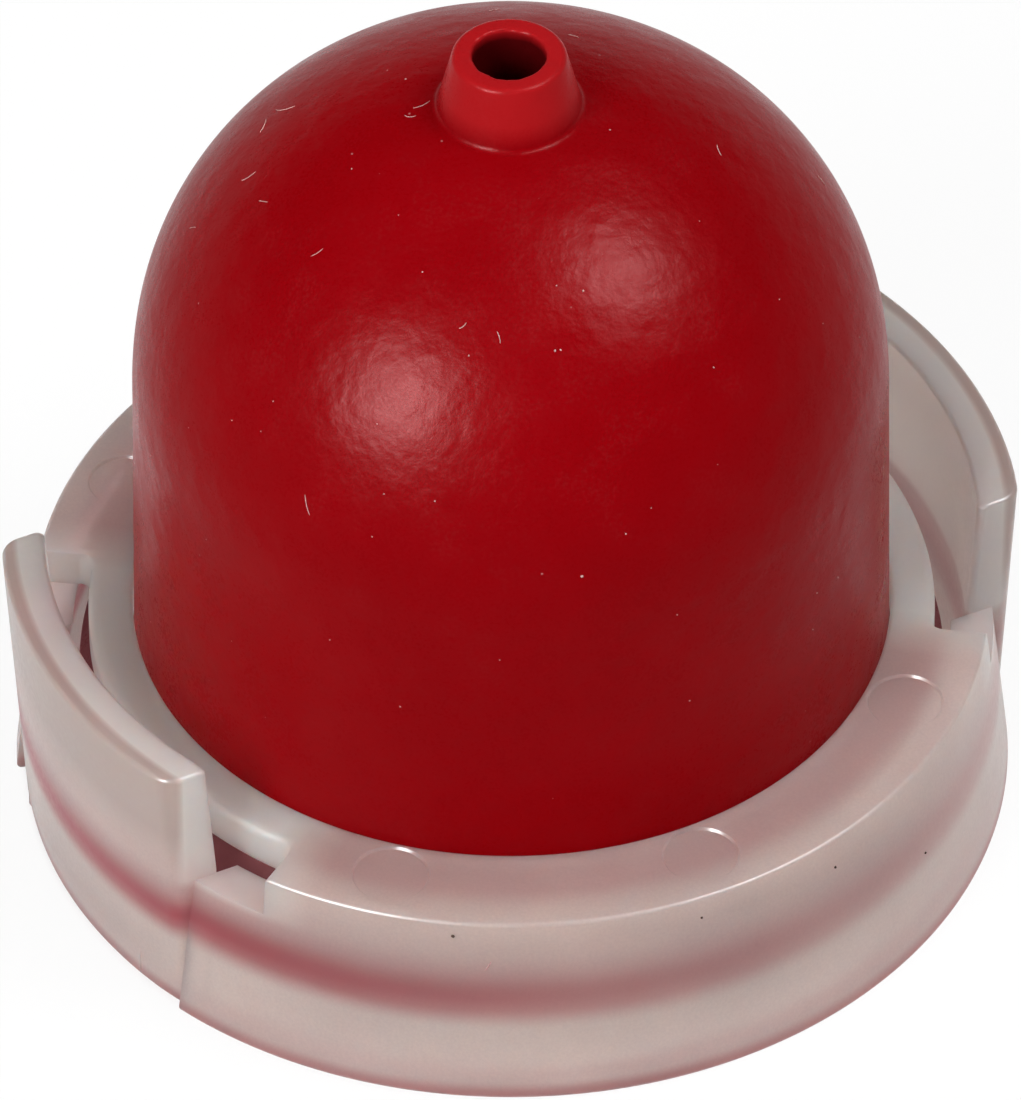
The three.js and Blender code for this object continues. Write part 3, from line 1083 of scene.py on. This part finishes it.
# Azimuth, height and size of the pale grains that the photograph shows
GRAINS = [
    (245.9, 30.4, 0.09), (282.2, 30.3, 0.08), (288.6, 30.1, 0.10), (261.3, 28.8, 0.08), (280.6, 28.9, 0.10),
    (257.8, 24.4, 0.08), (248.3, 22.6, 0.07), (287.8, 22.9, 0.08), (310.1, 27.2, 0.09), (153.9, 31.9, 0.09),
    (279.4, 28.9, 0.12), (280.6, 21.5, 0.13), (328.5, 15.6, 0.08), (219.1, 24.3, 0.07), (241.9, 17.3, 0.07),
    (297.4, 14.3, 0.08), (268.2, 17.8, 0.07), (342.5, 32.0, 0.08), (202.0, 31.2, 0.08), (331.2, 27.5, 0.07),
]
lint = [fibre(on_bulb, *sizes, 0.032) for sizes in FIBRES]
for number in range(14):
    lint.append(fibre(
        on_bulb, chance.uniform(20, 160), chance.uniform(12, 31), chance.uniform(-90, 90),
        chance.uniform(0.3, 0.8), chance.uniform(-60, 60), 0.032,
    ))
lint.append(fibre(on_skirt, 266.8, 6.1, 60, 0.45, 10, 0.06))
grains = [grain(on_bulb, azimuth, height, 0.8 * size) for azimuth, height, size in GRAINS]
for number in range(44):
    azimuth, height = chance.uniform(0, 360), chance.uniform(10, 31.5)
    grains.append(grain(on_bulb, azimuth, height, chance.uniform(0.03, 0.06)))
grit = [grain(on_skirt, azimuth, height, size) for azimuth, height, size in (
    (263.0, 7.6, 0.14), (292.5, 7.3, 0.10), (311.0, 6.9, 0.12),
    (326.5, 4.2, 0.10), (98.0, 5.1, 0.10), (141.0, 2.9, 0.12),
)]
dust_fibres = gathered("dust_fibres", lint)
dust_grains = gathered("dust_grains", grains)
dark_grit = gathered("dark_grit", grit)
for piece in (dust_fibres, dust_grains, dark_grit):
    soften(piece, 80)
    report(piece)

# %% [markdown]
# ## What the dust is made of
#
# Lint is cotton, matt and off-white, and its deeper, pinker tone is painted light, for the red of the
# rubber under it showing through. The dark grit on the plastic is road dirt. Both are matt, with a tone
# that changes from one bit to the next.


# %% Lint and grit
def make_dust(name, pale, deep, spacing):
    """Matt dust whose tone drifts between two colours over the given distance in millimetres."""
    material, tree = new_material(name)
    place = add_node(tree, "TexCoord")
    drift = add_node(tree, "TexNoise", None, {
        "Vector": place.outputs["Object"], "Scale": 1000 / spacing, "Detail": 2,
    })
    colour = add_node(tree, "Mix", {"data_type": "RGBA"}, {
        "Factor": drift.outputs["Fac"], "A": linear(pale), "B": linear(deep),
    })
    matt = add_node(tree, "BsdfPrincipled", None, {
        "Base Color": colour.outputs["Result"], "Roughness": 0.9, "Specular IOR Level": 0.2,
    })
    add_node(tree, "OutputMaterial", None, {"Surface": matt.outputs[0]})
    return material


# The lint's deeper tone is a painted pink, for the rubber's red showing through it
cotton_lint = make_dust("cotton_lint", "#DDB9B2", "#AC7070", 1.5)
road_grit = make_dust("road_grit", "#5A4238", "#2A1C18", 0.5)
print("made", cotton_lint.name, "and", road_grit.name)

# %% [markdown]
# ## On to the frame
#
# Every piece is tied to the CAD model. The two mouldings take the places of their CAD nodes, which then
# stay only for collision. The dust replaces nothing. Nothing moves, so all of it rides on the root.

# %% Put the finishes and the pieces on the frame
dust_fibres.data.materials.append(cotton_lint)
dust_grains.data.materials.append(cotton_lint)
dark_grit.data.materials.append(road_grit)
for piece in (dust_fibres, dust_grains, dark_grit):
    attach(piece, "root")
bulb.data.materials.append(red_rubber)
ring.data.materials.append(natural_plastic)
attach(bulb, "root")
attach(ring, "root")
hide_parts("bulb")
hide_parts("retainer_ring")
print("pieces:", [piece.name for piece in (bulb, ring, dust_fibres, dust_grains, dark_grit)])

# %% [markdown]
# ## The floor and the background
#
# The photograph has a plain white ground. The floor is a wide pale disc. To the camera, and in
# reflections, it adds enough light of its own to come out white, and the object still leaves a soft
# shadow on it. The floor is clear from below, so that the underside can be looked at too.

# %% Floor
FLOOR_RADIUS = 2500


def make_floor():
    """A pale floor that shows white, with the object's shadow on it."""
    corners = []
    for step in range(72):
        angle = math.radians(5 * step)
        corners.append((FLOOR_RADIUS * math.cos(angle), FLOOR_RADIUS * math.sin(angle), -0.02))
    floor = mesh_object("floor", corners, [tuple(range(72))])
    material, tree = new_material("white_studio_floor")
    rays = add_node(tree, "LightPath")
    seen = add_node(tree, "Math", {"operation": "MAXIMUM"}, {
        0: rays.outputs["Is Camera Ray"], 1: rays.outputs["Is Glossy Ray"],
    })
    seen = add_node(tree, "Math", {"operation": "MAXIMUM"}, {
        0: seen.outputs[0], 1: rays.outputs["Is Transmission Ray"],
    })
    place = add_node(tree, "TexCoord")
    radius = add_node(tree, "VectorMath", {"operation": "LENGTH"}, {0: place.outputs["Object"]})
    open_floor = add_node(tree, "MapRange", None, {
        "Value": radius.outputs["Value"], "From Min": 0.0175, "From Max": 0.0187, "To Max": 0.88,
    })
    share = add_node(tree, "Math", {"operation": "MULTIPLY"}, {
        0: seen.outputs[0], 1: open_floor.outputs[0],
    })
    paint = add_node(tree, "Mix", {"data_type": "RGBA"}, {
        "Factor": seen.outputs[0], "A": linear("#C8C6C4"), "B": linear("#FFFFFF"),
    })
    matt = add_node(tree, "BsdfDiffuse", None, {"Color": paint.outputs["Result"]})
    white = add_node(tree, "Emission", None, {"Strength": 1.0})
    lit = add_node(tree, "MixShader", None, {0: share.outputs[0], 1: matt.outputs[0], 2: white.outputs[0]})
    clear = add_node(tree, "BsdfTransparent")
    side = add_node(tree, "NewGeometry")
    surface = add_node(tree, "MixShader", None, {
        0: side.outputs["Backfacing"], 1: lit.outputs[0], 2: clear.outputs[0],
    })
    add_node(tree, "OutputMaterial", None, {"Surface": surface.outputs[0]})
    floor.data.materials.append(material)
    return floor


floor = make_floor()
print("floor normal points up:", floor.data.polygons[0].normal.z > 0)

# %% [markdown]
# ## The light
#
# Two softboxes light the bulb, one low in front on the left and one high on the right. Their places are
# worked out from where they shine on the dome. Round them the studio is even and dim, and gives the
# soft fill.

# %% World
FILL_STRENGTH = 0.36


def make_world():
    """White behind the object, and an even fill on it."""
    world = bpy.data.worlds.new("studio")
    world.use_nodes = True
    tree = world.node_tree
    tree.nodes.clear()
    rays = add_node(tree, "LightPath")
    place = add_node(tree, "TexCoord")
    axes = add_node(tree, "SeparateXYZ", None, {"Vector": place.outputs["Generated"]})
    horizon = add_node(tree, "MapRange", {"interpolation_type": "SMOOTHSTEP"}, {
        "Value": axes.outputs["Z"], "From Min": 0.42, "From Max": 0.12,
    })
    seen = add_node(tree, "Math", {"operation": "MAXIMUM"}, {
        0: rays.outputs["Is Glossy Ray"], 1: rays.outputs["Is Transmission Ray"],
    })
    reflected = add_node(tree, "Math", {"operation": "MULTIPLY"}, {
        0: seen.outputs[0], 1: horizon.outputs[0],
    })
    white_share = add_node(tree, "Math", {"operation": "MAXIMUM"}, {
        0: reflected.outputs[0], 1: rays.outputs["Is Camera Ray"],
    })
    dark = add_node(tree, "Math", {"operation": "SUBTRACT"}, {0: 1.0, 1: seen.outputs[0]})
    fill_strength = add_node(tree, "Math", {"operation": "MULTIPLY"}, {
        0: dark.outputs[0], 1: FILL_STRENGTH,
    })
    fill = add_node(tree, "Background", None, {
        "Color": linear("#FFFFFF"), "Strength": fill_strength.outputs[0],
    })
    white = add_node(tree, "Background", None, {"Color": linear("#FFFFFF"), "Strength": 1.0})
    both = add_node(tree, "MixShader", None, {
        0: white_share.outputs[0], 1: fill.outputs[0], 2: white.outputs[0],
    })
    add_node(tree, "OutputWorld", None, {"Surface": both.outputs[0]})
    bpy.context.scene.world = world


make_world()
print("fill of the studio:", FILL_STRENGTH)

# %% [markdown]
# ## The softboxes
#
# A lamp that is right for the tone of the surfaces is not always right for its own reflection in them,
# so each softbox is two lamps in one place. One lights and isn't mirrored. The other is mirrored and
# lights nothing, and it counts only on the first surface that is met, or its glare would come back off
# the plastic.


# %% Softboxes
def softbox(name, azimuth, elevation, distance, width, height, radiance, shine):
    """A rectangular lamp that faces the object. It either lights the surfaces or shines in them."""
    lamp = bpy.data.lights.new(name, "AREA")
    lamp.shape = "RECTANGLE"
    lamp.size = width * MM
    lamp.size_y = height * MM
    lamp.energy = radiance * math.pi * lamp.size * lamp.size_y
    if shine:
        lamp.use_nodes = True
        tree = lamp.node_tree
        tree.nodes.clear()
        rays = add_node(tree, "LightPath")
        bounces = add_node(tree, "Math", {"operation": "ADD"}, {
            0: rays.outputs["Diffuse Depth"], 1: rays.outputs["Transmission Depth"],
        })
        direct = add_node(tree, "Math", {"operation": "LESS_THAN"}, {0: bounces.outputs[0], 1: 0.5})
        glow = add_node(tree, "Emission", None, {"Strength": direct.outputs[0]})
        add_node(tree, "OutputLight", None, {"Surface": glow.outputs[0]})
    box = bpy.data.objects.new(name, lamp)
    turn, lift = math.radians(azimuth), math.radians(elevation)
    away = Vector((math.cos(turn) * math.cos(lift), math.sin(turn) * math.cos(lift), math.sin(lift)))
    centre = Vector((0, 0, 18))
    facing = away.to_track_quat("Z", "Y").to_matrix().to_4x4()
    box.matrix_world = Matrix.Translation((centre + distance * away) * MM) @ facing
    box.visible_diffuse = not shine
    box.visible_glossy = shine
    box.visible_transmission = not shine
    bpy.context.scene.collection.objects.link(box)
    return box


softbox("softbox_left", 231, 31, 500, 220, 260, 9.5, False)
softbox("softbox_right", 350, 60, 500, 220, 220, 8, False)
softbox("shine_left", 231, 31.5, 500, 198, 243, 88, True)
softbox("shine_right", 349, 60.5, 500, 174, 180, 58, True)
print("lamps:", [lamp.name for lamp in bpy.data.lights])

# %% [markdown]
# ## Leaving it as it should be
#
# The view transform is Standard, so a colour comes out as it was written.

# %% View
bpy.context.scene.view_settings.view_transform = "Standard"
